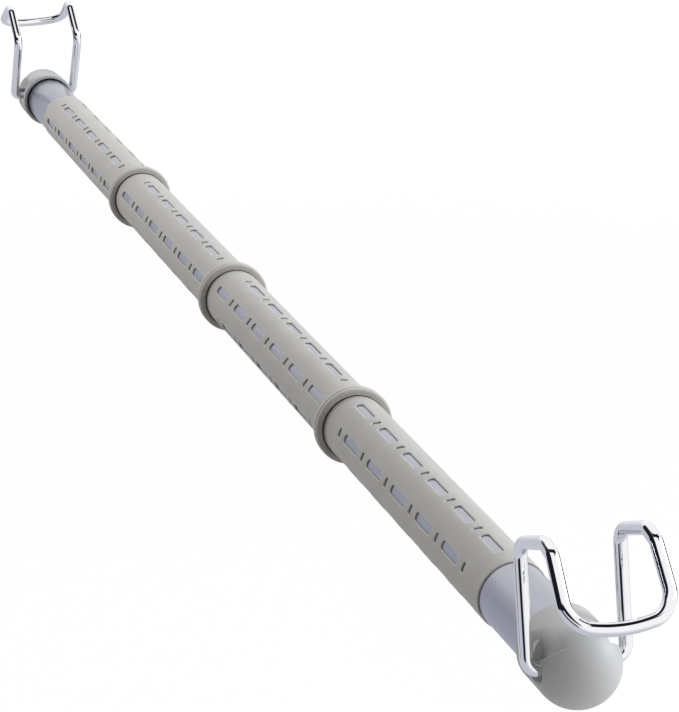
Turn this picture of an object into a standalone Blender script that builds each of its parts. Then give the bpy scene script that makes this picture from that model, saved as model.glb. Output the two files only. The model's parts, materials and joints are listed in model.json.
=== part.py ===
"""Car clothes hanger bar.

A telescopic steel rail that hangs across a car's rear seat. The outer tube carries four slotted
grip sleeves with a spacer ring at each joint between them. The inner tube slides out of it, turns a
little to wedge an eccentric lock, and carries the near end's cap. A bent wire hook swings on each cap.

Metres, +Z up. X runs along the bar from its far end to its near end. The origin is on the bar's
axis at the middle joint of the four sleeves.
"""

import math

import bmesh
import bpy
from mathutils import Matrix, Vector

MM = 0.001

# Clearance between two pieces that touch
FIT_GAP = 0.3 * MM

# Tubes
OUTER_TUBE_RADIUS = 12.7 * MM
TUBE_WALL = 0.8 * MM
TUBE_CLEARANCE = 1.0 * MM
MOUTH_ROLL_LENGTH = 3.0 * MM
TUBE_SIDES = 24

# Slide: how far the inner tube draws out before its lock ring meets the bead in the outer tube
SLIDE_TRAVEL = 560.0 * MM
STOP_BEAD_FLAT = 2.0 * MM
STOP_BEAD_SLOPE = 1.2 * MM

# Grip sleeves
SLEEVE_COUNT = 4
SLEEVE_LENGTH = 178.3 * MM
SLEEVE_SPACING = 3.6 * MM
SLEEVE_WALL = 0.84 * MM
SLEEVE_FACETS = 24
SLOT_PITCH = 28.6 * MM
SLOT_LENGTH = 16.4 * MM
SLOT_WIDTH = 3.35 * MM
SLOT_CORNER = 1.0 * MM
DASH_LENGTH = 2.3 * MM
DASH_WIDTH = 3.35 * MM
LONG_ROW_SLOTS = 6
ROWS_OF_EACH_KIND = 3
SLEEVE_TURNS_DEG = (-81.5, -63.0, -50.5, -6.0)

# Spacer rings: each covers the space between two sleeves and grips the end of the first
RING_GRIP = 1.6 * MM
RING_HEIGHT = 2.75 * MM
RING_CROWN = 1.2 * MM
RING_GROOVE_PLACE = 2.4 * MM
RING_GROOVE_WIDTH = 1.0 * MM
RING_GROOVE_DEPTH = 0.6 * MM
RING_SIDES = 26

# Bare tube between the sleeves and each cap's rim
FAR_BARE_LENGTH = 46.9 * MM
NEAR_BARE_LENGTH = 41.6 * MM

# Wire hooks: corner points of the bend, outward from the hinge and up, with the leg upright
WIRE_RADIUS = 2.45 * MM
HOOK_SPLAY = 0.7 * MM
HOOK_LEG_HEIGHT = 45.3 * MM
HOOK_APEX_OUT = 27.1 * MM
HOOK_APEX_HEIGHT = 51.0 * MM
HOOK_TIP_OUT = 40.9 * MM
HOOK_TIP_HEIGHT = 26.0 * MM
HOOK_BOW = 3.6 * MM
FOOT_BEND_RADIUS = 4.9 * MM
SHOULDER_BEND_RADIUS = 6.3 * MM
APEX_BEND_RADIUS = 5.6 * MM
TIP_BEND_RADIUS = 7.6 * MM
PIN_END_GAP = 2.5 * MM
NEAR_HOOK_LEAN_DEG = -11.06
FAR_HOOK_LEAN_DEG = -29.0

# End caps, measured outward from the hook's hinge
CAP_RIM_OFFSET = 16.9 * MM
CAP_FLOOR_OFFSET = 6.5 * MM
CAP_RIM_ROUND = 0.45 * MM
CAP_SKIRT_CLEARANCE = 1.2 * MM
CAP_SKIRT_WALL = 1.85 * MM
CAP_SOCKET_RADIUS = 7.0 * MM
CAP_SOCKET_DEPTH = 14.5 * MM
CAP_SIDES = 24
POCKET_DEPTH = 6.0 * MM
POCKET_REAR = 5.6 * MM
POCKET_ROUND = 3.6 * MM
POCKET_FRONT_DEG = 45.0

# Plugs that join each cap to its tube
PLUG_FLANGE = 2.0 * MM
PLUG_SPIGOT_LENGTH = 22.0 * MM
PLUG_LEAD_IN = 1.0 * MM
PLUG_SIDES = 24

# Retracted, the outer tube's mouth stands this far short of the floor inside the near cap
MOUTH_CLEARANCE = 1.2 * MM

# Twist lock at the inner tube's tail, which stops short of the far plug by its clearance
TAIL_CLEARANCE = 9.2 * MM
LOCK_ECCENTRICITY = 0.5 * MM
LOCK_JOURNAL_RADIUS = 8.0 * MM
LOCK_RING_WIDTH = 10.0 * MM
LOCK_RING_SPLIT = 2.0 * MM
LOCK_RING_CHAMFER = 0.5 * MM
LOCK_FLANGE = 2.0 * MM
LOCK_HEAD = 2.0 * MM
LOCK_SPIGOT_LENGTH = 20.0 * MM
LOCK_SIDES = 24

# Arcs and cutters
ARC_STEPS = 4
DOME_STEPS = 6
PIN_BORE_SIDES = 12
CUTTER_REACH = 8.0 * MM
MERGE_DISTANCE = 0.01 * MM

# Places along the bar
SLEEVE_PITCH = SLEEVE_LENGTH + SLEEVE_SPACING
SLEEVES_START_X = -SLEEVE_COUNT * SLEEVE_PITCH / 2
SLEEVES_END_X = -SLEEVES_START_X - SLEEVE_SPACING
RING_WIDTH = SLEEVE_SPACING + RING_GRIP
NEAR_HINGE_X = SLEEVES_END_X + NEAR_BARE_LENGTH + CAP_RIM_OFFSET
FAR_HINGE_X = SLEEVES_START_X - FAR_BARE_LENGTH - CAP_RIM_OFFSET
PLUG_FACE_OFFSET = CAP_FLOOR_OFFSET + FIT_GAP
TUBE_END_OFFSET = PLUG_FACE_OFFSET + PLUG_FLANGE + FIT_GAP
INNER_TUBE_END_X = NEAR_HINGE_X - TUBE_END_OFFSET
OUTER_TUBE_TAIL_X = FAR_HINGE_X + TUBE_END_OFFSET
FAR_SPIGOT_END_X = FAR_HINGE_X + PLUG_FACE_OFFSET + PLUG_FLANGE + PLUG_SPIGOT_LENGTH
LOCK_JOURNAL_LENGTH = LOCK_RING_WIDTH + 2 * FIT_GAP
LOCK_REACH = FIT_GAP + LOCK_FLANGE + LOCK_JOURNAL_LENGTH + LOCK_HEAD
INNER_TUBE_TAIL_X = FAR_SPIGOT_END_X + TAIL_CLEARANCE + LOCK_REACH
OUTER_TUBE_MOUTH_X = NEAR_HINGE_X - CAP_FLOOR_OFFSET - MOUTH_CLEARANCE
LOCK_RING_FRONT_X = INNER_TUBE_TAIL_X - FIT_GAP - LOCK_FLANGE - FIT_GAP
STOP_BEAD_START_X = LOCK_RING_FRONT_X + SLIDE_TRAVEL + FIT_GAP

# Radii that follow from the fits
OUTER_TUBE_BORE = OUTER_TUBE_RADIUS - TUBE_WALL
INNER_TUBE_RADIUS = OUTER_TUBE_BORE - TUBE_CLEARANCE
INNER_TUBE_BORE = INNER_TUBE_RADIUS - TUBE_WALL
MOUTH_BORE = INNER_TUBE_RADIUS + FIT_GAP
LOCK_RING_RADIUS = OUTER_TUBE_BORE - FIT_GAP
FACET_SHRINK = math.cos(math.pi / SLEEVE_FACETS)
SLEEVE_BORE = (OUTER_TUBE_RADIUS + FIT_GAP) / FACET_SHRINK
SLEEVE_RADIUS = SLEEVE_BORE + SLEEVE_WALL
RING_BORE = (SLEEVE_RADIUS + FIT_GAP) / math.cos(math.pi / RING_SIDES)
RING_RADIUS = RING_BORE + RING_HEIGHT
RING_FACE_RADIUS = RING_RADIUS - RING_CROWN
CAP_BORE = OUTER_TUBE_RADIUS + CAP_SKIRT_CLEARANCE
CAP_RADIUS = CAP_BORE + CAP_SKIRT_WALL
HOOK_HALF_WIDTH = CAP_RADIUS + FIT_GAP + WIRE_RADIUS
HOOK_TIP_HALF_WIDTH = HOOK_HALF_WIDTH + HOOK_SPLAY
STUB_RADIUS = CAP_SOCKET_RADIUS - FIT_GAP
PIN_BORE_RADIUS = WIRE_RADIUS + FIT_GAP

# Finishes: colour, roughness, metallic
GRIP_RUBBER = ("grip_rubber", (0.50, 0.47, 0.43, 1.0), 0.75, 0.0)
RING_RUBBER = ("ring_rubber", (0.53, 0.49, 0.43, 1.0), 0.70, 0.0)
CAP_PLASTIC = ("cap_plastic", (0.40, 0.40, 0.40, 1.0), 0.60, 0.0)
TUBE_STEEL = ("tube_steel", (0.72, 0.74, 0.77, 1.0), 0.28, 1.0)
HOOK_CHROME = ("hook_chrome", (0.90, 0.90, 0.91, 1.0), 0.05, 1.0)
PLUG_NYLON = ("plug_nylon", (0.80, 0.79, 0.75, 1.0), 0.50, 0.0)
LOCK_NYLON = ("lock_nylon", (0.10, 0.10, 0.11, 1.0), 0.50, 0.0)


def clear_scene():
    """Remove every object that the file starts with."""
    for old in list(bpy.data.objects):
        bpy.data.objects.remove(old, do_unlink=True)


def new_collection(name):
    """Make a collection in the scene."""
    collection = bpy.data.collections.new(name)
    bpy.context.scene.collection.children.link(collection)
    return collection


def finish(spec):
    """Return the material of a finish, made on first use."""
    name, color, roughness, metallic = spec
    material = bpy.data.materials.get(name)
    if material is None:
        material = bpy.data.materials.new(name)
        material.use_nodes = True
        shader = material.node_tree.nodes["Principled BSDF"]
        shader.inputs["Base Color"].default_value = color
        shader.inputs["Roughness"].default_value = roughness
        shader.inputs["Metallic"].default_value = metallic
    return material


def add_part(name, data, spec):
    """Put a sub-part's object into the parts' collection with its finish."""
    part = bpy.data.objects.new(name, data)
    PARTS.objects.link(part)
    part.data.materials.clear()
    part.data.materials.append(finish(spec))
    return part


def add_cutter(name, data):
    """Put a cutter or a joining shape into its own collection, out of the render."""
    cutter = bpy.data.objects.new(name, data)
    CUTTERS.objects.link(cutter)
    cutter.hide_render = True
    cutter.display_type = 'WIRE'
    return cutter


def place(part, x=0.0, lean=0.0, far=False):
    """Put a piece at x along the bar. A far piece is turned round so that its +X points outward."""
    part.location = (x, 0.0, 0.0)
    part.rotation_euler = (0.0, lean, math.pi if far else 0.0)


def turned_mesh(name, profile, closed):
    """Mesh of a profile in the XZ plane: points (x, radius), outer side from high x to low x."""
    mesh = bpy.data.meshes.new(name)
    points = [(x, 0.0, radius) for x, radius in profile]
    edges = [(i, i + 1) for i in range(len(points) - 1)]
    if closed:
        edges.append((len(points) - 1, 0))
    mesh.from_pydata(points, edges, [])
    return mesh


def turn(part, sides):
    """Turn a profile about the bar's axis."""
    screw = part.modifiers.new("Turn", 'SCREW')
    screw.axis = 'X'
    screw.angle = 2 * math.pi
    screw.steps = sides
    screw.render_steps = sides
    screw.use_merge_vertices = True
    screw.merge_threshold = MERGE_DISTANCE
    screw.use_smooth_shade = True


def combine(part, other, operation):
    """Cut a piece by another, or join the two."""
    boolean = part.modifiers.new(other.name, 'BOOLEAN')
    boolean.operation = operation
    boolean.solver = 'EXACT'
    boolean.object = other


def cylinder_mesh(name, radius, start, end, sides, offset=(0.0, 0.0)):
    """Mesh of a cylinder along X from start to end, its axis moved by offset in Y and Z."""
    form = bmesh.new()
    turn_to_x = Matrix.Rotation(math.pi / 2, 4, 'Y')
    centre = Matrix.Translation(((start + end) / 2, offset[0], offset[1]))
    bmesh.ops.create_cone(
        form, cap_ends=True, segments=sides, radius1=radius, radius2=radius,
        depth=end - start, matrix=centre @ turn_to_x)
    mesh = bpy.data.meshes.new(name)
    form.to_mesh(mesh)
    form.free()
    return mesh


def add_prism(form, outline, matrix, depth):
    """Add to a bmesh the prism of a flat outline, drawn in XY and drawn out along Z by depth."""
    corners = [form.verts.new(matrix @ Vector((x, y, 0.0))) for x, y in outline]
    base = form.faces.new(corners)
    drawn = bmesh.ops.extrude_face_region(form, geom=[base])
    moved = [item for item in drawn["geom"] if isinstance(item, bmesh.types.BMVert)]
    shift = matrix.to_3x3() @ Vector((0.0, 0.0, depth))
    bmesh.ops.translate(form, verts=moved, vec=shift)


def prism_mesh(name, form):
    """Mesh of the prisms in a bmesh, with every face pointing outward."""
    bmesh.ops.recalc_face_normals(form, faces=form.faces)
    mesh = bpy.data.meshes.new(name)
    form.to_mesh(mesh)
    form.free()
    return mesh


def arc(centre, radius, start, end, steps):
    """Points on an arc in a plane, angles counted from the second axis towards the first."""
    points = []
    for i in range(steps + 1):
        angle = start + (end - start) * i / steps
        points.append((centre[0] + radius * math.sin(angle), centre[1] + radius * math.cos(angle)))
    return points


def build_outer_tube():
    """Outer tube: straight wall, a rolled-in mouth and a bead that stops the lock ring."""
    bead = [
        (STOP_BEAD_START_X, 0.0),
        (STOP_BEAD_START_X + STOP_BEAD_SLOPE, OUTER_TUBE_BORE - MOUTH_BORE),
        (STOP_BEAD_START_X + STOP_BEAD_SLOPE + STOP_BEAD_FLAT, OUTER_TUBE_BORE - MOUTH_BORE),
        (STOP_BEAD_START_X + 2 * STOP_BEAD_SLOPE + STOP_BEAD_FLAT, 0.0),
    ]
    roll_start = OUTER_TUBE_MOUTH_X - MOUTH_ROLL_LENGTH
    profile = [(OUTER_TUBE_MOUTH_X, MOUTH_BORE + TUBE_WALL), (roll_start, OUTER_TUBE_RADIUS)]
    profile += [(x, OUTER_TUBE_RADIUS - depth) for x, depth in reversed(bead)]
    profile += [(OUTER_TUBE_TAIL_X, OUTER_TUBE_RADIUS), (OUTER_TUBE_TAIL_X, OUTER_TUBE_BORE)]
    profile += [(x, OUTER_TUBE_BORE - depth) for x, depth in bead]
    profile += [(roll_start, OUTER_TUBE_BORE), (OUTER_TUBE_MOUTH_X, MOUTH_BORE)]
    tube = add_part("outer_tube", turned_mesh("outer_tube", profile, True), TUBE_STEEL)
    turn(tube, TUBE_SIDES)


def build_inner_tube():
    """Inner tube: a plain length of thin steel tube."""
    profile = [
        (INNER_TUBE_END_X, INNER_TUBE_RADIUS),
        (INNER_TUBE_TAIL_X, INNER_TUBE_RADIUS),
        (INNER_TUBE_TAIL_X, INNER_TUBE_BORE),
        (INNER_TUBE_END_X, INNER_TUBE_BORE),
    ]
    tube = add_part("inner_tube", turned_mesh("inner_tube", profile, True), TUBE_STEEL)
    turn(tube, TUBE_SIDES)


def slot_outline():
    """Outline of a long slot, along the bar and across, with cut corners."""
    half_length = SLOT_LENGTH / 2
    half_width = SLOT_WIDTH / 2
    quarter = [(half_length, half_width - SLOT_CORNER), (half_length - SLOT_CORNER, half_width)]
    right = [(x, -y) for x, y in reversed(quarter)] + quarter
    return right + [(-x, -y) for x, y in right]


def dash_outline():
    """Outline of a short cross slit."""
    half_length = DASH_LENGTH / 2
    half_width = DASH_WIDTH / 2
    return [(half_length, -half_width), (half_length, half_width),
            (-half_length, half_width), (-half_length, -half_width)]


def sleeve_cutter_mesh():
    """Slots and slits of one sleeve: rows of two kinds by turns, each centred on a facet.

    A row of the first kind starts and ends with a slot and has a slit between two slots. The next
    row has them the other way round.
    """
    form = bmesh.new()
    facet_centre = math.pi / SLEEVE_FACETS
    rows = 2 * ROWS_OF_EACH_KIND
    places = 2 * LONG_ROW_SLOTS - 1
    for row in range(rows):
        angle = facet_centre + 2 * math.pi * row / rows
        for i in range(places):
            x = SLEEVE_LENGTH / 2 + (i - (places - 1) / 2) * SLOT_PITCH / 2
            outline = slot_outline() if (i + row) % 2 == 0 else dash_outline()
            radial = Matrix.Rotation(-angle, 4, 'X')
            start = Matrix.Translation((x, 0.0, OUTER_TUBE_RADIUS))
            add_prism(form, outline, radial @ start, SLEEVE_WALL + CUTTER_REACH)
    return prism_mesh("sleeve_slots", form)


def build_sleeves():
    """Four grip sleeves in a row, each slipped on at its own turn."""
    profile = [
        (SLEEVE_LENGTH, SLEEVE_RADIUS), (0.0, SLEEVE_RADIUS), (0.0, SLEEVE_BORE), (SLEEVE_LENGTH, SLEEVE_BORE)]
    slots = sleeve_cutter_mesh()
    facet_centre = math.pi / SLEEVE_FACETS
    for i in range(SLEEVE_COUNT):
        name = "grip_sleeve_%d" % (i + 1)
        sleeve = add_part(name, turned_mesh(name, profile, True), GRIP_RUBBER)
        cutter = add_cutter(name + "_slots", slots)
        turn(sleeve, SLEEVE_FACETS)
        combine(sleeve, cutter, 'DIFFERENCE')
        row_turn = math.radians(SLEEVE_TURNS_DEG[i % len(SLEEVE_TURNS_DEG)])
        for piece in (sleeve, cutter):
            piece.location = (SLEEVES_START_X + i * SLEEVE_PITCH, 0.0, 0.0)
            piece.rotation_euler = (facet_centre - row_turn, 0.0, 0.0)


def build_spacer_rings():
    """Spacer rings over the spaces between the sleeves: round edges and a groove between two ridges."""
    groove_floor = RING_RADIUS - RING_GROOVE_DEPTH
    profile = arc((-RING_CROWN, RING_FACE_RADIUS), RING_CROWN, math.pi / 2, 0.0, 2)
    profile += [
        (-RING_GROOVE_PLACE + RING_GROOVE_WIDTH / 2, RING_RADIUS),
        (-RING_GROOVE_PLACE + RING_GROOVE_WIDTH / 4, groove_floor),
        (-RING_GROOVE_PLACE - RING_GROOVE_WIDTH / 4, groove_floor),
        (-RING_GROOVE_PLACE - RING_GROOVE_WIDTH / 2, RING_RADIUS),
    ]
    profile += arc((RING_CROWN - RING_WIDTH, RING_FACE_RADIUS), RING_CROWN, 0.0, -math.pi / 2, 2)
    profile += [(-RING_WIDTH, RING_BORE), (0.0, RING_BORE)]
    for i in range(SLEEVE_COUNT - 1):
        name = "spacer_ring_%d" % (i + 1)
        ring = add_part(name, turned_mesh(name, profile, True), RING_RUBBER)
        turn(ring, RING_SIDES)
        place(ring, SLEEVES_START_X + (i + 1) * SLEEVE_PITCH)


def cap_profile():
    """Profile of a cap, outward from the hinge: dome, skirt, rim, open cavity and blind socket."""
    socket_end = CAP_SOCKET_DEPTH - CAP_FLOOR_OFFSET
    profile = arc((0.0, 0.0), CAP_RADIUS, math.pi / 2, 0.0, DOME_STEPS)
    profile[0] = (CAP_RADIUS, 0.0)
    profile += [
        (-CAP_RIM_OFFSET + CAP_RIM_ROUND, CAP_RADIUS),
        (-CAP_RIM_OFFSET, CAP_RADIUS - CAP_RIM_ROUND),
        (-CAP_RIM_OFFSET, CAP_BORE),
        (-CAP_FLOOR_OFFSET, CAP_BORE),
        (-CAP_FLOOR_OFFSET, CAP_SOCKET_RADIUS),
        (socket_end, CAP_SOCKET_RADIUS),
        (socket_end, 0.0),
    ]
    return profile


def pocket_outline():
    """Outline of the recess round a hook's foot, outward and up from the hinge.

    A round about the hinge, open upward between a straight rear wall and a sloping front edge.
    """
    front = math.radians(POCKET_FRONT_DEG)
    top = CAP_RADIUS + CUTTER_REACH
    outline = arc((0.0, 0.0), POCKET_ROUND, front, 1.5 * math.pi, 2 * ARC_STEPS)
    outline += [(-POCKET_REAR, 0.0), (-POCKET_REAR, top), (top * math.tan(front), top)]
    return outline


def cap_cutter_mesh():
    """Both side recesses of a cap with the bore that the hook's feet turn in."""
    form = bmesh.new()
    floor = CAP_RADIUS - POCKET_DEPTH
    outline = pocket_outline()
    to_side = Matrix.Rotation(-math.pi / 2, 4, 'X')
    for side in (1, -1):
        points = [(x, -side * z) for x, z in outline]
        stand = Matrix.Rotation(math.pi if side < 0 else 0.0, 4, 'X') @ to_side
        add_prism(form, points, stand @ Matrix.Translation((0.0, 0.0, floor)), CUTTER_REACH)
    return prism_mesh("cap_pockets", form)


def pin_bore_mesh():
    """Cross bore for the two inward feet of a hook, from one recess to the other."""
    form = bmesh.new()
    across = Matrix.Rotation(math.pi / 2, 4, 'X')
    bmesh.ops.create_cone(
        form, cap_ends=True, segments=PIN_BORE_SIDES, radius1=PIN_BORE_RADIUS,
        radius2=PIN_BORE_RADIUS, depth=2 * CAP_RADIUS, matrix=across)
    mesh = bpy.data.meshes.new("pin_bore")
    form.to_mesh(mesh)
    form.free()
    return mesh


def build_cap(end, hinge_x, far):
    """Cap of one end: a domed plastic cup with a recess on each side for the hook's foot."""
    name = end + "_cap"
    cap = add_part(name, turned_mesh(name, cap_profile(), False), CAP_PLASTIC)
    turn(cap, CAP_SIDES)
    pockets = add_cutter(name + "_pockets", cap_cutter_mesh())
    bore = add_cutter(name + "_pin_bore", pin_bore_mesh())
    combine(cap, pockets, 'DIFFERENCE')
    combine(cap, bore, 'DIFFERENCE')
    for piece in (cap, pockets, bore):
        place(piece, hinge_x, far=far)


def build_plug(end, hinge_x, far, tube_radius):
    """Plug of one end: a spigot in the tube, a flange on its rim and a stub pinned in the cap."""
    name = end + "_cap_plug"
    spigot_radius = tube_radius - TUBE_WALL - FIT_GAP
    flange_back = -PLUG_FACE_OFFSET - PLUG_FLANGE
    spigot_end = flange_back - PLUG_SPIGOT_LENGTH
    stub_end = CAP_SOCKET_DEPTH - CAP_FLOOR_OFFSET - FIT_GAP
    profile = [
        (stub_end, 0.0),
        (stub_end, STUB_RADIUS),
        (-PLUG_FACE_OFFSET, STUB_RADIUS),
        (-PLUG_FACE_OFFSET, tube_radius),
        (flange_back, tube_radius),
        (flange_back, spigot_radius),
        (spigot_end + PLUG_LEAD_IN, spigot_radius),
        (spigot_end, spigot_radius - PLUG_LEAD_IN),
        (spigot_end, 0.0),
    ]
    plug = add_part(name, turned_mesh(name, profile, False), PLUG_NYLON)
    turn(plug, PLUG_SIDES)
    bore = add_cutter(name + "_pin_bore", pin_bore_mesh())
    combine(plug, bore, 'DIFFERENCE')
    for piece in (plug, bore):
        place(piece, hinge_x, far=far)


def rounded_path(corners, radii):
    """Points along a bent wire: each inner corner is replaced by an arc of its own radius."""
    points = [corners[0]]
    for i in range(1, len(corners) - 1):
        corner = corners[i]
        back = (corners[i - 1] - corner).normalized()
        ahead = (corners[i + 1] - corner).normalized()
        half_angle = back.angle(ahead) / 2
        reach = radii[i - 1] / math.tan(half_angle)
        centre = corner + (back + ahead).normalized() * radii[i - 1] / math.sin(half_angle)
        from_centre = corner + back * reach - centre
        to_centre = corner + ahead * reach - centre
        sweep = from_centre.angle(to_centre)
        for step in range(ARC_STEPS + 1):
            share = step / ARC_STEPS
            first = math.sin((1 - share) * sweep) / math.sin(sweep)
            second = math.sin(share * sweep) / math.sin(sweep)
            points.append(centre + from_centre * first + to_centre * second)
    points.append(corners[-1])
    return points


def hook_path():
    """Centre line of a hook's wire from one foot to the other, with the leg upright.

    One half runs from the foot's end in the cap up the leg, over the shoulder and down to the tip.
    The tip's cross run bows onward in the arm's own direction, and the other half mirrors the first.
    """
    apex = Vector((HOOK_APEX_OUT, HOOK_HALF_WIDTH, HOOK_APEX_HEIGHT))
    tip = Vector((HOOK_TIP_OUT, HOOK_TIP_HALF_WIDTH, HOOK_TIP_HEIGHT))
    corners = [
        Vector((0.0, PIN_END_GAP, 0.0)),
        Vector((0.0, HOOK_HALF_WIDTH, 0.0)),
        Vector((0.0, HOOK_HALF_WIDTH, HOOK_LEG_HEIGHT)),
        apex,
        tip,
        Vector((HOOK_TIP_OUT, 0.0, HOOK_TIP_HEIGHT)),
    ]
    radii = (FOOT_BEND_RADIUS, SHOULDER_BEND_RADIUS, APEX_BEND_RADIUS, TIP_BEND_RADIUS)
    half = rounded_path(corners, radii)
    last = half.pop()
    side = half[-1].y
    half += [Vector((last.x, side * share, last.z)) for share in (2 / 3, 1 / 3)]
    arm = Vector((HOOK_TIP_OUT - HOOK_APEX_OUT, 0.0, HOOK_TIP_HEIGHT - HOOK_APEX_HEIGHT)).normalized()
    first_bowed = len(half) - ARC_STEPS - 3
    for i in range(first_bowed, len(half)):
        across = min(1.0, half[i].y / HOOK_TIP_HALF_WIDTH)
        half[i] = half[i] + arm * HOOK_BOW * (1 - across ** 2)
    middle = last + arm * HOOK_BOW
    other = [Vector((point.x, -point.y, point.z)) for point in reversed(half)]
    return half + [middle] + other


def build_hook(end, hinge_x, far, lean_deg):
    """Wire hook of one end, with its origin on the hinge that its feet turn on."""
    name = end + "_hook"
    wire = bpy.data.curves.new(name, 'CURVE')
    wire.dimensions = '3D'
    wire.bevel_depth = WIRE_RADIUS
    wire.bevel_resolution = 2
    wire.use_fill_caps = True
    path = hook_path()
    spline = wire.splines.new('POLY')
    spline.points.add(len(path) - 1)
    for point, place_on_path in zip(spline.points, path):
        point.co = (*place_on_path, 1.0)
    hook = add_part(name, wire, HOOK_CHROME)
    place(hook, hinge_x, math.radians(lean_deg), far)


def build_lock_plug():
    """Lock plug in the inner tube's tail: spigot, flange, eccentric journal and retaining head."""
    spigot_radius = INNER_TUBE_BORE - FIT_GAP
    flange_back = -FIT_GAP - LOCK_FLANGE
    head_front = flange_back - LOCK_JOURNAL_LENGTH
    profile = [
        (LOCK_SPIGOT_LENGTH, 0.0),
        (LOCK_SPIGOT_LENGTH, spigot_radius - PLUG_LEAD_IN),
        (LOCK_SPIGOT_LENGTH - PLUG_LEAD_IN, spigot_radius),
        (-FIT_GAP, spigot_radius),
        (-FIT_GAP, INNER_TUBE_RADIUS),
        (flange_back, INNER_TUBE_RADIUS),
        (flange_back, 0.0),
    ]
    plug = add_part("lock_plug", turned_mesh("lock_plug", profile, False), LOCK_NYLON)
    turn(plug, LOCK_SIDES)
    journal = add_cutter("lock_journal", cylinder_mesh(
        "lock_journal", LOCK_JOURNAL_RADIUS, head_front - LOCK_HEAD / 2, flange_back + LOCK_FLANGE / 2,
        LOCK_SIDES, (0.0, LOCK_ECCENTRICITY)))
    head = add_cutter("lock_head", cylinder_mesh(
        "lock_head", INNER_TUBE_RADIUS, head_front - LOCK_HEAD, head_front, LOCK_SIDES))
    combine(plug, journal, 'UNION')
    combine(plug, head, 'UNION')
    for piece in (plug, journal, head):
        place(piece, INNER_TUBE_TAIL_X)


def build_lock_ring():
    """Split lock ring on the journal. Turning the journal in its eccentric bore wedges it outward."""
    back = -LOCK_RING_WIDTH
    profile = [
        (0.0, 0.0),
        (0.0, LOCK_RING_RADIUS - LOCK_RING_CHAMFER),
        (-LOCK_RING_CHAMFER, LOCK_RING_RADIUS),
        (back + LOCK_RING_CHAMFER, LOCK_RING_RADIUS),
        (back, LOCK_RING_RADIUS - LOCK_RING_CHAMFER),
        (back, 0.0),
    ]
    ring = add_part("lock_ring", turned_mesh("lock_ring", profile, False), LOCK_NYLON)
    turn(ring, LOCK_SIDES)
    bore = add_cutter("lock_ring_bore", cylinder_mesh(
        "lock_ring_bore", LOCK_JOURNAL_RADIUS + FIT_GAP, back - CUTTER_REACH, CUTTER_REACH,
        LOCK_SIDES, (0.0, LOCK_ECCENTRICITY)))
    split_form = bmesh.new()
    half_split = LOCK_RING_SPLIT / 2
    outline = [(CUTTER_REACH, -half_split), (CUTTER_REACH, half_split),
               (back - CUTTER_REACH, half_split), (back - CUTTER_REACH, -half_split)]
    downward = Matrix.Rotation(math.pi, 4, 'X')
    add_prism(split_form, outline, downward, LOCK_RING_RADIUS + CUTTER_REACH)
    split = add_cutter("lock_ring_split", prism_mesh("lock_ring_split", split_form))
    combine(ring, bore, 'DIFFERENCE')
    combine(ring, split, 'DIFFERENCE')
    for piece in (ring, bore, split):
        place(piece, LOCK_RING_FRONT_X)


clear_scene()
PARTS = new_collection("car_clothes_hanger_bar")
CUTTERS = new_collection("hanger_bar_cutters")
build_outer_tube()
build_inner_tube()
build_sleeves()
build_spacer_rings()
build_lock_plug()
build_lock_ring()
for end_name, hinge, at_far_end, tube, lean in (
        ("far", FAR_HINGE_X, True, OUTER_TUBE_RADIUS, FAR_HOOK_LEAN_DEG),
        ("near", NEAR_HINGE_X, False, INNER_TUBE_RADIUS, NEAR_HOOK_LEAN_DEG)):
    build_cap(end_name, hinge, at_far_end)
    build_plug(end_name, hinge, at_far_end, tube)
    build_hook(end_name, hinge, at_far_end, lean)
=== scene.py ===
"""Looks of a car clothes hanger bar: fine surfaces, finishes, studio and camera.

Metres, +Z up. X runs along the bar from its far end to its near end, the origin is on the bar's axis.
A turn about the bar is counted from +Z towards +Y.
"""

import json
import math

import bpy
import numpy as np
from bpy.props import FloatProperty, FloatVectorProperty, PointerProperty
from mathutils import Euler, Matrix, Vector

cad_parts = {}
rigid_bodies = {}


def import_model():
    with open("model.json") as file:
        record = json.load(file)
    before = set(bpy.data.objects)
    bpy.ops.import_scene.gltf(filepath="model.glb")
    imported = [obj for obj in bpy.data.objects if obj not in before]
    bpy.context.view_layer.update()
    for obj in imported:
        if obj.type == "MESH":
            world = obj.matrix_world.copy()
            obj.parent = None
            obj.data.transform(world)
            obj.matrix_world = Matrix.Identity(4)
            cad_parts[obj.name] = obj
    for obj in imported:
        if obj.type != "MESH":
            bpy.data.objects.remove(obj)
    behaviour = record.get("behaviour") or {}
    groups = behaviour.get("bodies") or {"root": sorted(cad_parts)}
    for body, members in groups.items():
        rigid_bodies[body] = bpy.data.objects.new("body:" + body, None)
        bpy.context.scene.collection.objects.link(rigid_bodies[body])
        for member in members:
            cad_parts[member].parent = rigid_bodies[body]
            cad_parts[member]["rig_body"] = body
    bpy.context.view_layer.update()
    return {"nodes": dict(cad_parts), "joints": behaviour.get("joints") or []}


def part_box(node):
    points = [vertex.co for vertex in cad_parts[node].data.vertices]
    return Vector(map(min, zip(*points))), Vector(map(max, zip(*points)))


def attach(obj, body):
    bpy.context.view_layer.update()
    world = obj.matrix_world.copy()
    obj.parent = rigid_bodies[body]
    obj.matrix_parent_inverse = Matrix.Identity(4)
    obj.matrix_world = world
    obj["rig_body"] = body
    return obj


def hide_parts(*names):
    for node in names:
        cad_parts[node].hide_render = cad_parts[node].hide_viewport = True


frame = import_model()

bl_info = {
    "name": "Car Clothes Hanger Bar",
    "version": (1, 0, 0),
    "blender": (4, 5, 0),
    "location": "3D View > Sidebar > Hanger Bar",
    "description": "Makes the finished surfaces of a telescopic hanger bar around its solids",
    "category": "Object",
}

MM = 0.001
FULL_TURN = 2 * math.pi


def length(name, description, millimetres):
    """A size that a user may change, given in millimetres."""
    return FloatProperty(name=name, description=description, default=millimetres * MM, unit='LENGTH')


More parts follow.
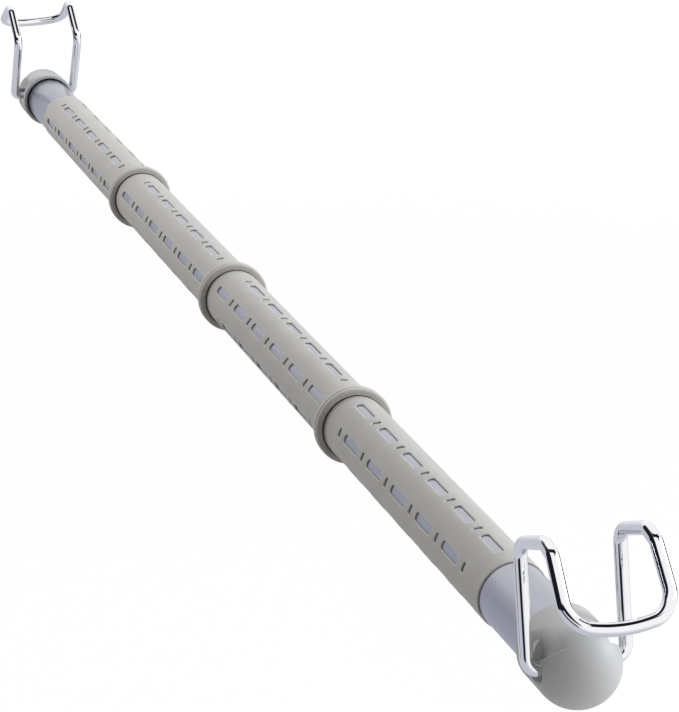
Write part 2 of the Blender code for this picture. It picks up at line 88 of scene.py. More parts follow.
def tint(name, description, colour):
    """A linear colour that a user may change."""
    return FloatVectorProperty(
        name=name, description=description, default=colour, size=3, min=0.0, max=1.0, subtype='COLOR')


def tilt(name, description, degrees):
    """An angle that a user may change, given in degrees."""
    return FloatProperty(name=name, description=description, default=math.radians(degrees), subtype='ANGLE')


def watts(name, description, power):
    """A lamp's power that a user may change."""
    return FloatProperty(name=name, description=description, default=power, unit='POWER')


def outer_radius(node):
    """Largest distance of a node's box from the bar's axis, along Y or Z."""
    low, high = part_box(node)
    return max(high.y, high.z, -low.y, -low.z)


def hinge_x(joint_name):
    """Place along the bar of a joint's axis."""
    return next(joint["pos_m"][0] for joint in frame["joints"] if joint["name"] == joint_name)


class HangerSleeves(bpy.types.PropertyGroup):
    """Sizes and colours of the grip sleeves."""

    slot_pitch: length("Slot pitch", "Distance between two slots of a row", 28.6)
    slot_length: length("Slot length", "Length of a slot along the bar", 16.3)
    slot_width: length("Slot width", "Width of a slot across the bar", 3.6)
    slot_corner: length("Slot corner", "Radius of a slot's corners", 1.2)
    slit_length: length("Slit length", "Opening of a cross slit along the bar", 2.2)
    slit_width: length("Slit width", "Width of a cross slit across the bar", 3.8)
    slit_corner: length("Slit corner", "Radius of a slit's corners", 0.7)
    lip: length("Lip", "Radius of the round on the edge of a slot and of a sleeve's end", 0.45)
    tube_gap: length("Gap to the tube", "Space between a sleeve and the tube in it", 0.04)
    light: tint("Light rubber", "Colour of the rubber where it is rubbed", (0.50, 0.484, 0.458))
    dark: tint("Dark rubber", "Colour of the rubber in its mottles", (0.44, 0.424, 0.398))


class HangerRings(bpy.types.PropertyGroup):
    """Sizes and colours of the spacer rings."""

    groove_place: length("Groove place", "Distance of the groove's middle from the near face", 2.4)
    groove_width: length("Groove width", "Width of the groove between the two ridges", 1.0)
    groove_depth: length("Groove depth", "Depth of the groove below the ridges", 0.6)
    crown: length("Crown", "Radius of the ring's round edges", 1.25)
    bore_gap: length("Gap to the sleeves", "Space between a ring's bore and the sleeve in it", 0.45)
    bore_sag: length("Sag of the bore", "How far a ring's bore hangs off the bar's axis", 0.28)
    web: length("Web", "Thickness of the web that fills the joint between two sleeves", 1.6)
    light: tint("Light rubber", "Colour of the ridges", (0.53, 0.505, 0.465))
    dark: tint("Dark rubber", "Colour of the rubber in its mottles", (0.45, 0.425, 0.385))


class HangerTubes(bpy.types.PropertyGroup):
    """Sizes and colours of the two steel tubes."""

    wall: length("Wall", "Thickness of the tubes' wall", 0.8)
    coat: length("Coat", "Thickness of the satin coat on the outer tube", 0.6)
    mouth_roll: length("Mouth roll", "Length of the rolled-in mouth of the outer tube", 3.0)
    edge: length("Edge", "Radius of the round on the tubes' edges", 0.25)
    light: tint("Light steel", "Colour of the satin steel", (0.495, 0.51, 0.568))
    dark: tint("Dark steel", "Colour of the drawing lines in the steel", (0.422, 0.437, 0.49))


class HangerCaps(bpy.types.PropertyGroup):
    """Sizes and colours of the two end caps, measured outward from the hook's hinge."""

    rim_round: length("Rim round", "Radius of the round on the skirt's rim", 0.45)
    skirt_wall: length("Skirt wall", "Thickness of the skirt round the tube", 1.85)
    floor: length("Cavity floor", "Place of the floor inside the skirt, inward from the hinge", 6.5)
    socket_radius: length("Socket radius", "Radius of the socket for the plug's stub", 7.0)
    socket_depth: length("Socket depth", "Depth of that socket from the cavity's floor", 14.5)
    pocket_depth: length("Pocket depth", "Depth of the side recesses about the hook's foot", 6.0)
    pocket_round: length("Pocket round", "Radius of the recess about the hook's foot", 4.6)
    pocket_edge: length("Pocket edge", "Distance of the recess's sloping front edge from the hinge", 1.8)
    pocket_reach: length("Pocket reach", "Distance from the hinge at which the recess runs out", 15.0)
    pocket_soft: length("Pocket wall", "Half the width over which the recess's walls fall", 0.2)
    pin_bore: length("Pin bore", "Radius of the bore that the hook's foot turns in", 2.75)
    pin_depth: length("Pin depth", "Depth of that bore below the recess's floor", 2.0)
    light: tint("Light plastic", "Colour of the moulded plastic", (0.51, 0.51, 0.505))
    dark: tint("Dark plastic", "Colour of the plastic in its mottles", (0.47, 0.47, 0.465))


class HangerHooks(bpy.types.PropertyGroup):
    """Sizes of the wire hooks: corners of the bend, outward from the hinge and up, with the leg upright."""

    wire_radius: length("Wire radius", "Radius of the hooks' wire", 2.45)
    half_width: length("Half width", "Distance of a leg from the bar's middle plane", 18.5)
    splay: length("Splay", "How much further out the tip's corners stand", 0.7)
    pin_end: length("Pin end", "Distance of a foot's end from the middle plane", 2.5)
    leg_height: length("Leg height", "Height of the shoulder's corner", 45.3)
    apex_out: length("Apex out", "Reach of the apex's corner", 27.1)
    apex_height: length("Apex height", "Height of the apex's corner", 51.0)
    tip_out: length("Tip out", "Reach of the tip's corner", 40.9)
    tip_height: length("Tip height", "Height of the tip's corner", 26.0)
    bow: length("Bow", "How far the cross run bows onward in its middle", 3.6)
    foot_bend: length("Foot bend", "Bend radius at the foot", 4.9)
    shoulder_bend: length("Shoulder bend", "Bend radius at the shoulder", 6.3)
    apex_cut: length("Apex cut", "Distance from the apex's corner to each of its two bends", 4.6)
    apex_bend: length("Apex bend", "Radius of the two bends at the apex", 3.2)
    tip_bend: length("Tip bend", "Bend radius at the tip", 7.6)
    near_lean: tilt("Near lean", "Lean of the near hook's leg at rest", -11.06)
    far_lean: tilt("Far lean", "Lean of the far hook's leg at rest", -29.0)
    chrome: tint("Chrome", "Colour of the plating", (0.93, 0.935, 0.955))


class HangerInside(bpy.types.PropertyGroup):
    """Colours of the nylon pieces inside the tubes."""

    plug_light: tint("Light plug", "Colour of the plugs' nylon", (0.80, 0.79, 0.75))
    plug_dark: tint("Dark plug", "Colour of that nylon in its mottles", (0.74, 0.73, 0.69))
    lock_light: tint("Light lock", "Colour of the lock's nylon", (0.10, 0.10, 0.11))
    lock_dark: tint("Dark lock", "Colour of that nylon in its mottles", (0.075, 0.075, 0.08))


CAMERA_TURN = tuple(math.radians(angle) for angle in (70.17, 0.384, 71.544))


class HangerStage(bpy.types.PropertyGroup):
    """Camera, floor and light."""

    camera_place: FloatVectorProperty(
        name="Camera place", description="Where the camera stands",
        default=(1.1685, -0.3333, 0.4075), size=3, subtype='XYZ', unit='LENGTH')
    camera_turn: FloatVectorProperty(
        name="Camera turn", description="The camera's rotation",
        default=CAMERA_TURN, size=3, subtype='EULER')
    camera_lens: FloatProperty(
        name="Focal length", description="The camera's focal length in millimetres",
        default=133.48, unit='CAMERA')
    floor_drop: length("Floor drop", "How far the floor lies below the bar's axis", 350.0)
    floor_radius: length("Floor radius", "Radius of the round floor", 1700.0)
    floor_colour: tint("Floor", "Colour of the floor", (0.86, 0.86, 0.87))
    backdrop: tint("Backdrop", "Soft light from behind the object", (0.98, 0.98, 0.98))
    shade: tint("Shaded side", "Soft light from the camera's side, low on the left", (0.13, 0.13, 0.13))
    lit: tint("Lit side", "Soft light from the camera's side, high on the right", (0.73, 0.73, 0.74))
    dim_mirror: tint("Dim mirror image", "What metal shows of the studio's left", (0.57, 0.58, 0.645))
    key_power: watts("Key light", "Power of the key light", 24.0)
    key_colour: tint("Key colour", "Colour of the key light", (0.85, 0.91, 1.0))
    fill_power: watts("Fill light", "Power of the light on the far end", 2.1)
    front_power: watts("Front light", "Power of the light on the near end", 6.5)


SETTINGS = {
    "hanger_sleeves": HangerSleeves,
    "hanger_rings": HangerRings,
    "hanger_tubes": HangerTubes,
    "hanger_caps": HangerCaps,
    "hanger_hooks": HangerHooks,
    "hanger_inside": HangerInside,
    "hanger_stage": HangerStage,
}


# Meshes from arrays

def grid_quads(rows, columns, close_rows=False, close_columns=False):
    """Corner numbers of the quads of a grid of rows times columns points.

    A quad runs (i, j), (i, j + 1), (i + 1, j + 1), (i + 1, j). A closed direction goes back to its start.
    """
    i = np.arange(rows if close_rows else rows - 1)[:, None]
    j = np.arange(columns if close_columns else columns - 1)[None, :]
    below = (i + 1) % rows
    beside = (j + 1) % columns
    corners = (i * columns + j, i * columns + beside, below * columns + beside, below * columns + j)
    return np.stack(np.broadcast_arrays(*corners), axis=-1).reshape(-1, 4)


def signed_volume(points, faces):
    """Sum over all triangles of corner . (second x third) / 6, which is positive if faces point outward."""
    total = 0.0
    for rows in faces:
        for k in range(1, rows.shape[1] - 1):
            a, b, c = points[rows[:, 0]], points[rows[:, k]], points[rows[:, k + 1]]
            total += np.einsum("ij,ij->", a, np.cross(b, c)) / 6
    return total


def add_piece(name, points, faces, material, edge_wear_and_highlight=None):
    """An object of points (n, 3) and faces, a list of arrays of corner numbers, shaded smooth.

    The edge shares, one number for each point, are kept as the attribute "edge", which draws the rubber
    lighter there: rubbed wear and a painted highlight.
    """
    if signed_volume(points, faces) < 0:
        faces = [rows[:, ::-1] for rows in faces]
    loops = np.concatenate([rows.ravel() for rows in faces]).astype(np.int32)
    sizes = np.concatenate([np.full(len(rows), rows.shape[1]) for rows in faces])
    starts = np.concatenate(([0], np.cumsum(sizes)[:-1])).astype(np.int32)
    mesh = bpy.data.meshes.new(name)
    mesh.vertices.add(len(points))
    mesh.vertices.foreach_set("co", points.astype(np.float32).ravel())
    mesh.loops.add(len(loops))
    mesh.loops.foreach_set("vertex_index", loops)
    mesh.polygons.add(len(starts))
    mesh.polygons.foreach_set("loop_start", starts)
    mesh.update(calc_edges=True)
    if mesh.validate():
        raise RuntimeError(name + " has faulty faces")
    if edge_wear_and_highlight is not None:
        mesh.attributes.new("edge", 'FLOAT', 'POINT').data.foreach_set("value", edge_wear_and_highlight.astype(np.float32))
    mesh.shade_smooth()
    mesh.materials.append(material)
    piece = bpy.data.objects.new(name, mesh)
    bpy.context.scene.collection.objects.link(piece)
    return piece


def stand_in(piece, node):
    """Let a piece ride on its node's body and stand for the node, which is hidden."""
    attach(piece, frame["nodes"][node]["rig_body"])
    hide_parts(node)


def rounded(corners, radii, step_deg, closed=False):
    """Points along a line of straight runs, with an arc of its own radius in place of each corner.

    The arc touches both runs: it starts r / tan(half the corner's angle) before the corner, and its
    points turn from one radius of the arc to the other by sine shares. A radius of 0 keeps the corner.
    """
    corners = [np.asarray(corner, float) for corner in corners]
    count = len(corners)
    points = []
    for i, corner in enumerate(corners):
        radius = radii[i]
        if radius == 0 or (not closed and i in (0, count - 1)):
            points.append(corner[None])
            continue
        back = corners[i - 1] - corner
        ahead = corners[(i + 1) % count] - corner
        back = back / np.linalg.norm(back)
        ahead = ahead / np.linalg.norm(ahead)
        half_angle = np.arccos(np.clip(back @ ahead, -1, 1)) / 2
        reach = radius / np.tan(half_angle)
        inward = (back + ahead) / np.linalg.norm(back + ahead)
        centre = corner + inward * radius / np.sin(half_angle)
        first = corner + back * reach - centre
        last = corner + ahead * reach - centre
        sweep = np.pi - 2 * half_angle
        steps = max(2, int(np.ceil(np.degrees(sweep) / step_deg)))
        turn = np.linspace(0, sweep, steps + 1)[:, None]
        points.append(centre + (first * np.sin(sweep - turn) + last * np.sin(turn)) / np.sin(sweep))
    return np.vstack(points)


def swung(first, second, angle):
    """Two coordinates turned in their plane: (a cos t + b sin t, b cos t - a sin t)."""
    cos, sin = math.cos(angle), math.sin(angle)
    return first * cos + second * sin, second * cos - first * sin


def divided(profile, spacing):
    """The same line with points added on its straight runs, none further apart than spacing."""
    runs = []
    for start, end in zip(profile[:-1], profile[1:]):
        steps = max(1, int(np.ceil(np.linalg.norm(end - start) / spacing)))
        runs.append(start + (end - start) * np.arange(steps)[:, None] / steps)
    return np.vstack(runs + [profile[-1:]])


def turned_points(profile, sides):
    """Points of a profile (x, r) turned about the bar: (x, r sin t, r cos t) for t round the full turn."""
    turn = np.arange(sides) * FULL_TURN / sides
    x = np.repeat(profile[:, :1], sides, axis=1)
    y = profile[:, 1:] * np.sin(turn)
    z = profile[:, 1:] * np.cos(turn)
    return np.stack((x, y, z), axis=-1)


def closed_turning(profile, sides):
    """Points and faces of a ring-like shape: a closed profile turned about the bar."""
    points = turned_points(profile, sides).reshape(-1, 3)
    return points, [grid_quads(len(profile), sides, True, True)]


def solid_turning(profile, sides):
    """Points and faces of a shape whose profile starts and ends on the axis, where fans close the poles."""
    body = turned_points(profile[1:-1], sides)
    ring = np.arange(sides)
    after = (ring + 1) % sides
    poles = np.array([[profile[0, 0], 0, 0], [profile[-1, 0], 0, 0]])
    points = np.vstack((body.reshape(-1, 3), poles))
    quads = grid_quads(len(profile) - 2, sides, False, True)
    first = np.stack((np.full(sides, len(points) - 2), after, ring), axis=-1)
    base = (len(profile) - 3) * sides
    last = np.stack((np.full(sides, len(points) - 1), base + ring, base + after), axis=-1)
    return points, [quads, np.vstack((first, last))]


# Shader nodes from expressions

class Wire:
    """An output socket. Python's operators on it add Math nodes to its tree."""

    def __init__(self, tree, socket):
        self.tree = tree
        self.socket = socket

    def calc(self, operation, first, second):
        """Add one Math node and return its output."""
        return self.tree.node('ShaderNodeMath', {"operation": operation}, {0: first, 1: second})

    def __add__(self, other):
        return self.calc('ADD', self, other)

    def __sub__(self, other):
        return self.calc('SUBTRACT', self, other)

    def __rsub__(self, other):
        return self.calc('SUBTRACT', other, self)

    def __mul__(self, other):
        return self.calc('MULTIPLY', self, other)

    def __abs__(self):
        return self.tree.node('ShaderNodeMath', {"operation": 'ABSOLUTE'}, {0: self})

    __radd__ = __add__
    __rmul__ = __mul__


class Tree:
    """A node tree that is filled from expressions."""

    def __init__(self, node_tree):
        self.nodes = node_tree.nodes
        self.links = node_tree.links
        self.nodes.clear()

    def node(self, kind, settings=None, sockets=None, output=0):
        """Add a node: its settings first, then its sockets' values or links. Returns one output."""
        node = self.nodes.new(kind)
        for key, value in (settings or {}).items():
            if key == "stops":
                self.set_stops(node.color_ramp, value)
            else:
                setattr(node, key, value)
        for key, value in (sockets or {}).items():
            if isinstance(value, Wire):
                self.links.new(value.socket, node.inputs[key])
            else:
                node.inputs[key].default_value = value
        return Wire(self, node.outputs[output]) if node.outputs else None

    @staticmethod
    def set_stops(ramp, stops):
        """Give a colour ramp grey stops of (place, value)."""
        while len(ramp.elements) < len(stops):
            ramp.elements.new(1.0)
        for element, (place, value) in zip(ramp.elements, stops):
            element.position = place
            element.color = (value, value, value, 1.0)

    def place(self):
        """Object coordinates in metres."""
        return self.node('ShaderNodeTexCoord', output="Object")

    def ray(self, kind):
        """1 for rays of one kind, such as "Is Camera Ray", else 0."""
        return self.node('ShaderNodeLightPath', output=kind)

    def stretched(self, vector, scales):
        """A vector times a scale for each axis."""
        return self.node('ShaderNodeVectorMath', {"operation": 'MULTIPLY'}, {0: vector, 1: scales})

    def noise(self, vector, scale, detail=3.0, roughness=0.55):
        """Noise from 0 to 1, scale in mottles per metre."""
        sockets = {"Vector": vector, "Scale": scale, "Detail": detail, "Roughness": roughness}
        return self.node('ShaderNodeTexNoise', {}, sockets)

    def ramp(self, value, *stops):
        """Grey ramp through stops of (place, value)."""
        return self.node('ShaderNodeValToRGB', {"stops": stops}, {"Fac": value})

    def blend(self, amount, first, second):
        """Colour between two colours."""
        sockets = {0: amount, 6: four(first), 7: four(second)}
        return self.node('ShaderNodeMix', {"data_type": 'RGBA'}, sockets, 2)

    def dot(self, vector, direction):
        """Dot product of a vector and a fixed direction."""
        sockets = {0: vector, 1: direction}
        return self.node('ShaderNodeVectorMath', {"operation": 'DOT_PRODUCT'}, sockets, "Value")

    def eased(self, value, low, high):
        """0 below low, 1 above high, and an S-shaped rise between."""
        sockets = {"Value": value, "From Min": low, "From Max": high}
        return self.node('ShaderNodeMapRange', {"interpolation_type": 'SMOOTHSTEP'}, sockets)

    def bump(self, height, distance, strength):
        """Normal of a height field, height 1 standing distance metres proud."""
        sockets = {"Height": height, "Distance": distance, "Strength": strength}
        return self.node('ShaderNodeBump', {}, sockets)

    def surface(self, sockets):
        """Close a material with a Principled shader."""
        shader = self.node('ShaderNodeBsdfPrincipled', {}, sockets)
        self.node('ShaderNodeOutputMaterial', {}, {"Surface": shader})


def four(colour):
    """A colour with its alpha, or the link that it already is."""
    return colour if isinstance(colour, Wire) else (*colour, 1.0)


def new_material(name):
    """An empty material and its tree."""
    material = bpy.data.materials.new(name)
    material.use_nodes = True
    return material, Tree(material.node_tree)


# Finishes

# Lighter colour that the rubber takes at its lips and ridges: rubbed wear, and a painted highlight on their
# rounds
RUBBED_EDGE_AND_HIGHLIGHT = (0.66, 0.64, 0.6)
CHROME_DULLING = 0.93


def soft_rubber(name, light, dark):
    """Soft matt rubber: faint mottles, a fine pebble grain, and edges drawn a little lighter, as rubbed wear
    and as a painted highlight on their rounds.
    """
    material, tree = new_material(name)
    place = tree.place()
    mottle = tree.noise(place, scale=70.0, detail=4.0)
    grain = tree.noise(place, scale=2600.0, detail=2.0)
    scuff = tree.noise(tree.stretched(place, (0.35, 1.0, 1.0)), scale=420.0)
    edge = tree.node('ShaderNodeAttribute', {"attribute_name": "edge"}, output="Fac")
    worn = tree.ramp(mottle * 0.7 + scuff * 0.3, (0.32, 0.15), (0.68, 0.85))
    base = tree.blend(worn, dark, light)
    # Painted highlight with rubbed wear: lips and ridges drawn lighter by the attribute "edge", whatever the
    # lamps do
    base = tree.blend(edge * (0.25 + scuff * 0.3), base, RUBBED_EDGE_AND_HIGHLIGHT)
    roughness = 0.6 + grain * 0.12 + mottle * 0.08
    normal = tree.bump(grain * 0.7 + scuff * 0.3, distance=0.05 * MM, strength=0.35)
    tree.surface({
        "Base Color": base, "Roughness": roughness, "Normal": normal,
        "Specular IOR Level": 0.35, "Sheen Weight": 0.12, "Sheen Roughness": 0.5})
    return material


def moulded_plastic(name, light, dark, grain_depth):
    """Moulded plastic with a spark-eroded grain and slow flow mottles."""
    material, tree = new_material(name)
    place = tree.place()
    flow = tree.noise(tree.stretched(place, (0.5, 1.0, 1.0)), scale=90.0)
    grain = tree.noise(place, scale=3200.0, detail=2.0)
    speck = tree.ramp(tree.noise(place, scale=5200.0, detail=1.0), (0.40, 0.0), (0.72, 1.0))
    base = tree.blend(flow * 0.7 + speck * 0.3, dark, light)
    tree.surface({
        "Base Color": base, "Roughness": 0.44 + grain * 0.12,
        "Normal": tree.bump(grain, distance=grain_depth, strength=0.3), "Specular IOR Level": 0.5})
    return material


def satin_steel(name, light, dark):
    """Drawn steel tube with a satin coat: fine lengthwise drawing lines and a slow cloudiness."""
    material, tree = new_material(name)
    place = tree.place()
    drawn = tree.noise(tree.stretched(place, (0.012, 1.0, 1.0)), scale=1500.0, roughness=0.6)
    cloud = tree.noise(place, scale=45.0)
    streaks = tree.ramp(drawn * 0.75 + cloud * 0.25, (0.3, 0.0), (0.7, 1.0))
    base = tree.blend(streaks, dark, light)
    tree.surface({
        "Base Color": base, "Metallic": 1.0, "Roughness": 0.19 + drawn * 0.1 + cloud * 0.05,
        "Normal": tree.bump(drawn, distance=0.01 * MM, strength=0.25)})
    return material


def bright_chrome(name, colour):
    """Bright plating over bent wire: nearly clean, with faint handling marks in its gloss."""
    material, tree = new_material(name)
    place = tree.place()
    smear = tree.noise(place, scale=160.0, detail=4.0)
    ripple = tree.noise(place, scale=320.0, detail=1.0)
    dull = tuple(CHROME_DULLING * channel for channel in colour)
    tree.surface({
        "Base Color": tree.blend(smear, dull, colour), "Metallic": 1.0,
        "Roughness": 0.02 + smear * smear * 0.06,
        "Normal": tree.bump(ripple, distance=0.02 * MM, strength=0.12)})
    return material


# Grip sleeves

SLEEVE_STEP = 1.3 * MM
SLEEVE_SIDES = 72
STEP_TURN = FULL_TURN / SLEEVE_SIDES
SLOT_CELL_STEPS = 16
SLIT_CELL_STEPS = 6
ROW_STEPS = 12
HOLES_IN_ROW = 11
ROWS = 6
FIRST_ROW_TURNS_DEG = (-81.5, -63.0, -50.5, -6.0)

# Loops of a cell: shares of the way from its frame to the hole, with how near each is to the lip
SURFACE_LOOPS = ((0.0, 0.0), (0.35, 0.0), (0.65, 0.0), (0.87, 0.1), (1.0, 0.6))
LIP_ANGLES = np.radians((30.0, 60.0, 90.0))
INNER_LOOPS = (0.5, 1.0)
END_ANGLES = np.radians((0.0, 18.0, 36.0, 54.0, 72.0, 90.0))

# Share of even spacing along a hole, the radius of a sharp corner, and how finely welding divides a step
EVEN_SHARE = 0.35
SHARP_CORNER = 1e-9
WELD_PARTS = 1000


def side_run(half_along, half_across, corner, shares):
    """One side of a rounded rectangle, from the middle of a corner's arc to the middle of the next.

    At the distance s along it, the straight part gives a = clip(s - q), q being an eighth of the corner's
    circle. What is left over turns the angle (s - q - a) / corner round the arc.
    """
    eighth = corner * np.pi / 4
    straight = 2 * (half_along - corner)
    s = shares * (2 * eighth + straight)
    along = np.clip(s - eighth, 0, straight)
    angle = (s - eighth - along) / corner
    run = corner - half_along + along + corner * np.sin(angle)
    return run, corner - half_across - corner * np.cos(angle)


def hole_outline(half_along, half_across, corner, along_shares, across_shares):
    """Points (along, across) round a rounded rectangle, from four sides, each turned a quarter further."""
    a, b = side_run(half_along, half_across, corner, along_shares)
    c, d = side_run(half_across, half_along, corner, across_shares)
    sides = ((a, b), (-d, c), (-a, -b), (d, -c))
    return np.vstack([np.stack(side, axis=-1)[:-1] for side in sides])


def hole_cell(hole, corner, steps, radii, lip):
    """Loops (along, across, radius) of a cell with a hole, from its outer edge over the lip to its inner one.

    The outer edge is a rectangle on the sleeve's lattice. Loops move from it to the hole's outline, over the
    lip's quarter round, straight through the wall, and out to the same rectangle on the inner surface.
    The last column says how near a loop is to the lip, where the rubber is drawn lighter as wear and as a
    painted highlight.
    """
    outer, inner = radii
    even = np.linspace(0, 1, steps + 1)
    gathered = EVEN_SHARE * even + (1 - EVEN_SHARE) * (0.5 - 0.5 * np.cos(np.pi * even))
    across_even = np.linspace(0, 1, ROW_STEPS + 1)
    half_cell = steps * SLEEVE_STEP / 2
    half_row = outer * np.pi / ROWS
    frame_line = hole_outline(half_cell, half_row, SHARP_CORNER, even, across_even)

    def outline(grown):
        """The hole's outline, wider by grown on every side."""
        return hole_outline(hole[0] / 2 + grown, hole[1] / 2 + grown, corner + grown, gathered, across_even)

    loops = []
    for part, edge in SURFACE_LOOPS:
        loops.append((frame_line + (outline(lip) - frame_line) * part, outer, edge))
    for angle in LIP_ANGLES:
        depth = lip * (1 - np.cos(angle))
        loops.append((outline(lip * (1 - np.sin(angle))), outer - depth, 1 - angle / np.pi))
    loops.append((outline(0.0), inner, 0.0))
    for part in INNER_LOOPS:
        loops.append((outline(0.0) + (frame_line - outline(0.0)) * part, inner, 0.0))
    return np.stack([
        np.column_stack((line, np.full(len(line), radius), np.full(len(line), edge)))
        for line, radius, edge in loops])


def strip_places(side, cell_edge, end_place, lip):
    """Places on the lattice from a cell's edge towards the sleeve's end, as far as its round leaves room."""
    steps = int((abs(end_place - cell_edge) - lip) / SLEEVE_STEP)
    return cell_edge + side * np.arange(steps + 1) * SLEEVE_STEP


def strip_block(places, turns, radius, flipped):
    """Points (along, turn, radius, edge) and quads of a plain strip of the lattice."""
    along, turn = np.meshgrid(places, turns, indexing="ij")
    block = np.stack((along, turn, np.full_like(along, radius), np.zeros_like(along)), axis=-1)
    quads = grid_quads(*along.shape)
    return block, quads[:, ::-1] if flipped else quads


def end_block(side, last_place, end_place, radii, lip):
    """Points (along, turn, radius, edge) and quads of a sleeve's end, outer surface to inner surface.

    Between the two the line follows a quarter round, lip (sin a - 1) from the end and lip (cos a - 1) from
    the outer surface.
    """
    outer, inner = radii
    place = end_place + side * lip * (np.sin(END_ANGLES) - 1)
    radius = outer - lip + lip * np.cos(END_ANGLES)
    end_round = np.column_stack((place, radius, np.sin(2 * END_ANGLES)))
    line = np.vstack(((last_place, outer, 0.0), end_round, (end_place, inner, 0.0), (last_place, inner, 0.0)))
    block = np.empty((len(line), SLEEVE_SIDES, 4))
    block[..., 0] = line[:, :1]
    block[..., 1] = (np.arange(SLEEVE_SIDES) - ROW_STEPS / 2) * STEP_TURN
    block[..., 2:] = line[:, None, 1:]
    quads = grid_quads(len(line), SLEEVE_SIDES, False, True)
    return block, quads[:, ::-1] if side > 0 else quads


def rolled_up(blocks, inner, lip):
    """Points (x, r sin t, r cos t), faces and edge shares of all blocks, with points that agree made one."""
    points = np.vstack([block.reshape(-1, 4) for block, _ in blocks])
    starts = np.cumsum([0] + [block.size // 4 for block, _ in blocks])
    quads = np.vstack([quads + start for (_, quads), start in zip(blocks, starts)])
    keys = np.column_stack((
        np.round(points[:, 0] / SLEEVE_STEP * WELD_PARTS),
        np.round(points[:, 1] / STEP_TURN * WELD_PARTS) % (SLEEVE_SIDES * WELD_PARTS),
        np.round((points[:, 2] - inner) / lip * WELD_PARTS))).astype(np.int64)
    _, kept, number = np.unique(keys, axis=0, return_index=True, return_inverse=True)
    x, turn, radius, edge = points[kept].T
    rolled = np.column_stack((x, radius * np.sin(turn), radius * np.cos(turn)))
    return rolled, [number.reshape(-1)[quads]], edge


def sleeve_surface(settings, sleeve_length, radii):
    """Points, faces and edge shares of one slotted sleeve from its far end at 0, its first row up.

    The sleeve is a lattice of 1.3 mm by 5 degrees, rolled up. Rows of cells with holes lie 60 degrees apart,
    a slot and a slit by turns. Plain strips and a rounded end close it at both ends.
    """
    lip = settings.lip
    slot = (settings.slot_length, settings.slot_width)
    slit = (settings.slit_length, settings.slit_width)
    cells = (
        hole_cell(slot, settings.slot_corner, SLOT_CELL_STEPS, radii, lip),
        hole_cell(slit, settings.slit_corner, SLIT_CELL_STEPS, radii, lip),
    )
    half_cells = (SLOT_CELL_STEPS * SLEEVE_STEP / 2, SLIT_CELL_STEPS * SLEEVE_STEP / 2)
    outer, inner = radii
    hole_step = settings.slot_pitch / 2
    first_hole = (sleeve_length - (HOLES_IN_ROW - 1) * hole_step) / 2
    ends = ((-1, first_hole, 0.0), (1, sleeve_length - first_hole, sleeve_length))
    blocks = []
    for row in range(ROWS):
        row_turn = row * FULL_TURN / ROWS
        for hole in range(HOLES_IN_ROW):
            block = cells[(row + hole) % 2].copy()
            block[..., 0] += first_hole + hole * hole_step
            block[..., 1] = block[..., 1] / outer + row_turn
            blocks.append((block, grid_quads(len(block), block.shape[1], False, True)))
        turns = row_turn + (np.arange(ROW_STEPS + 1) - ROW_STEPS / 2) * STEP_TURN
        for side, hole_place, end_place in ends:
            places = strip_places(side, hole_place + side * half_cells[row % 2], end_place, lip)
            for radius in radii:
                blocks.append(strip_block(places, turns, radius, (side > 0) == (radius == outer)))
    for side, hole_place, end_place in ends:
        last_place = strip_places(side, hole_place + side * half_cells[0], end_place, lip)[-1]
        blocks.append(end_block(side, last_place, end_place, radii, lip))
    return rolled_up(blocks, inner, lip)


class HANGER_OT_sleeves(bpy.types.Operator):
    """Make the four slotted grip sleeves"""

    bl_idname = "hanger.sleeves"
    bl_label = "Grip sleeves"

    def execute(self, context):
        settings = context.scene.hanger_sleeves
        material = soft_rubber("grip_rubber", settings.light, settings.dark)
        inner = outer_radius("outer_tube") + context.scene.hanger_tubes.coat + settings.tube_gap
        for number, turn_deg in enumerate(FIRST_ROW_TURNS_DEG, start=1):
            node = "grip_sleeve_%d" % number
            low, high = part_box(node)
            points, faces, edge = sleeve_surface(settings, high.x - low.x, (outer_radius(node), inner))
            y, z = swung(points[:, 1], points[:, 2], math.radians(turn_deg))
            placed = np.column_stack((points[:, 0] + low.x, y, z))
            piece = add_piece("slotted_sleeve_%d" % number, placed, faces, material, edge)
            stand_in(piece, node)
        return {'FINISHED'}


# Spacer rings

RING_SIDES = 144
WEB_GAP = 0.1 * MM

# Share of the groove's width in each slope, the power that keeps the rubbed wear and painted highlight to the
# ridges, where the bores sag to
GROOVE_SLOPE = 0.3
RIDGE_SHARPNESS = 4
SAG_SIDE = np.array((0.0, -math.sqrt(0.5), -math.sqrt(0.5)))


def ring_profile(settings, width, outer, bore, web_bore, web_start):
    """Closed profile (x, r) of a ring whose near face is at 0.

    It has round edges, a groove between two ridges, and a web that reaches in between the two sleeves.
    """
    near_ridge = -settings.groove_place + settings.groove_width / 2
    far_ridge = near_ridge - settings.groove_width
    floor = outer - settings.groove_depth
    crown = settings.crown
    soft = GROOVE_SLOPE * settings.groove_width
    small = settings.bore_gap / 2
    web_end = web_start + settings.web
    corners = [
        (0.0, bore), (0.0, outer), (near_ridge, outer), (near_ridge - soft, floor),
        (far_ridge + soft, floor), (far_ridge, outer), (-width, outer), (-width, bore),
        (web_start, bore), (web_start, web_bore), (web_end, web_bore), (web_end, bore)]
    radii = (small, crown, soft, soft / 2, soft / 2, soft, crown, small, 0, 0, 0, 0)
    return rounded(corners, radii, step_deg=8.0, closed=True)


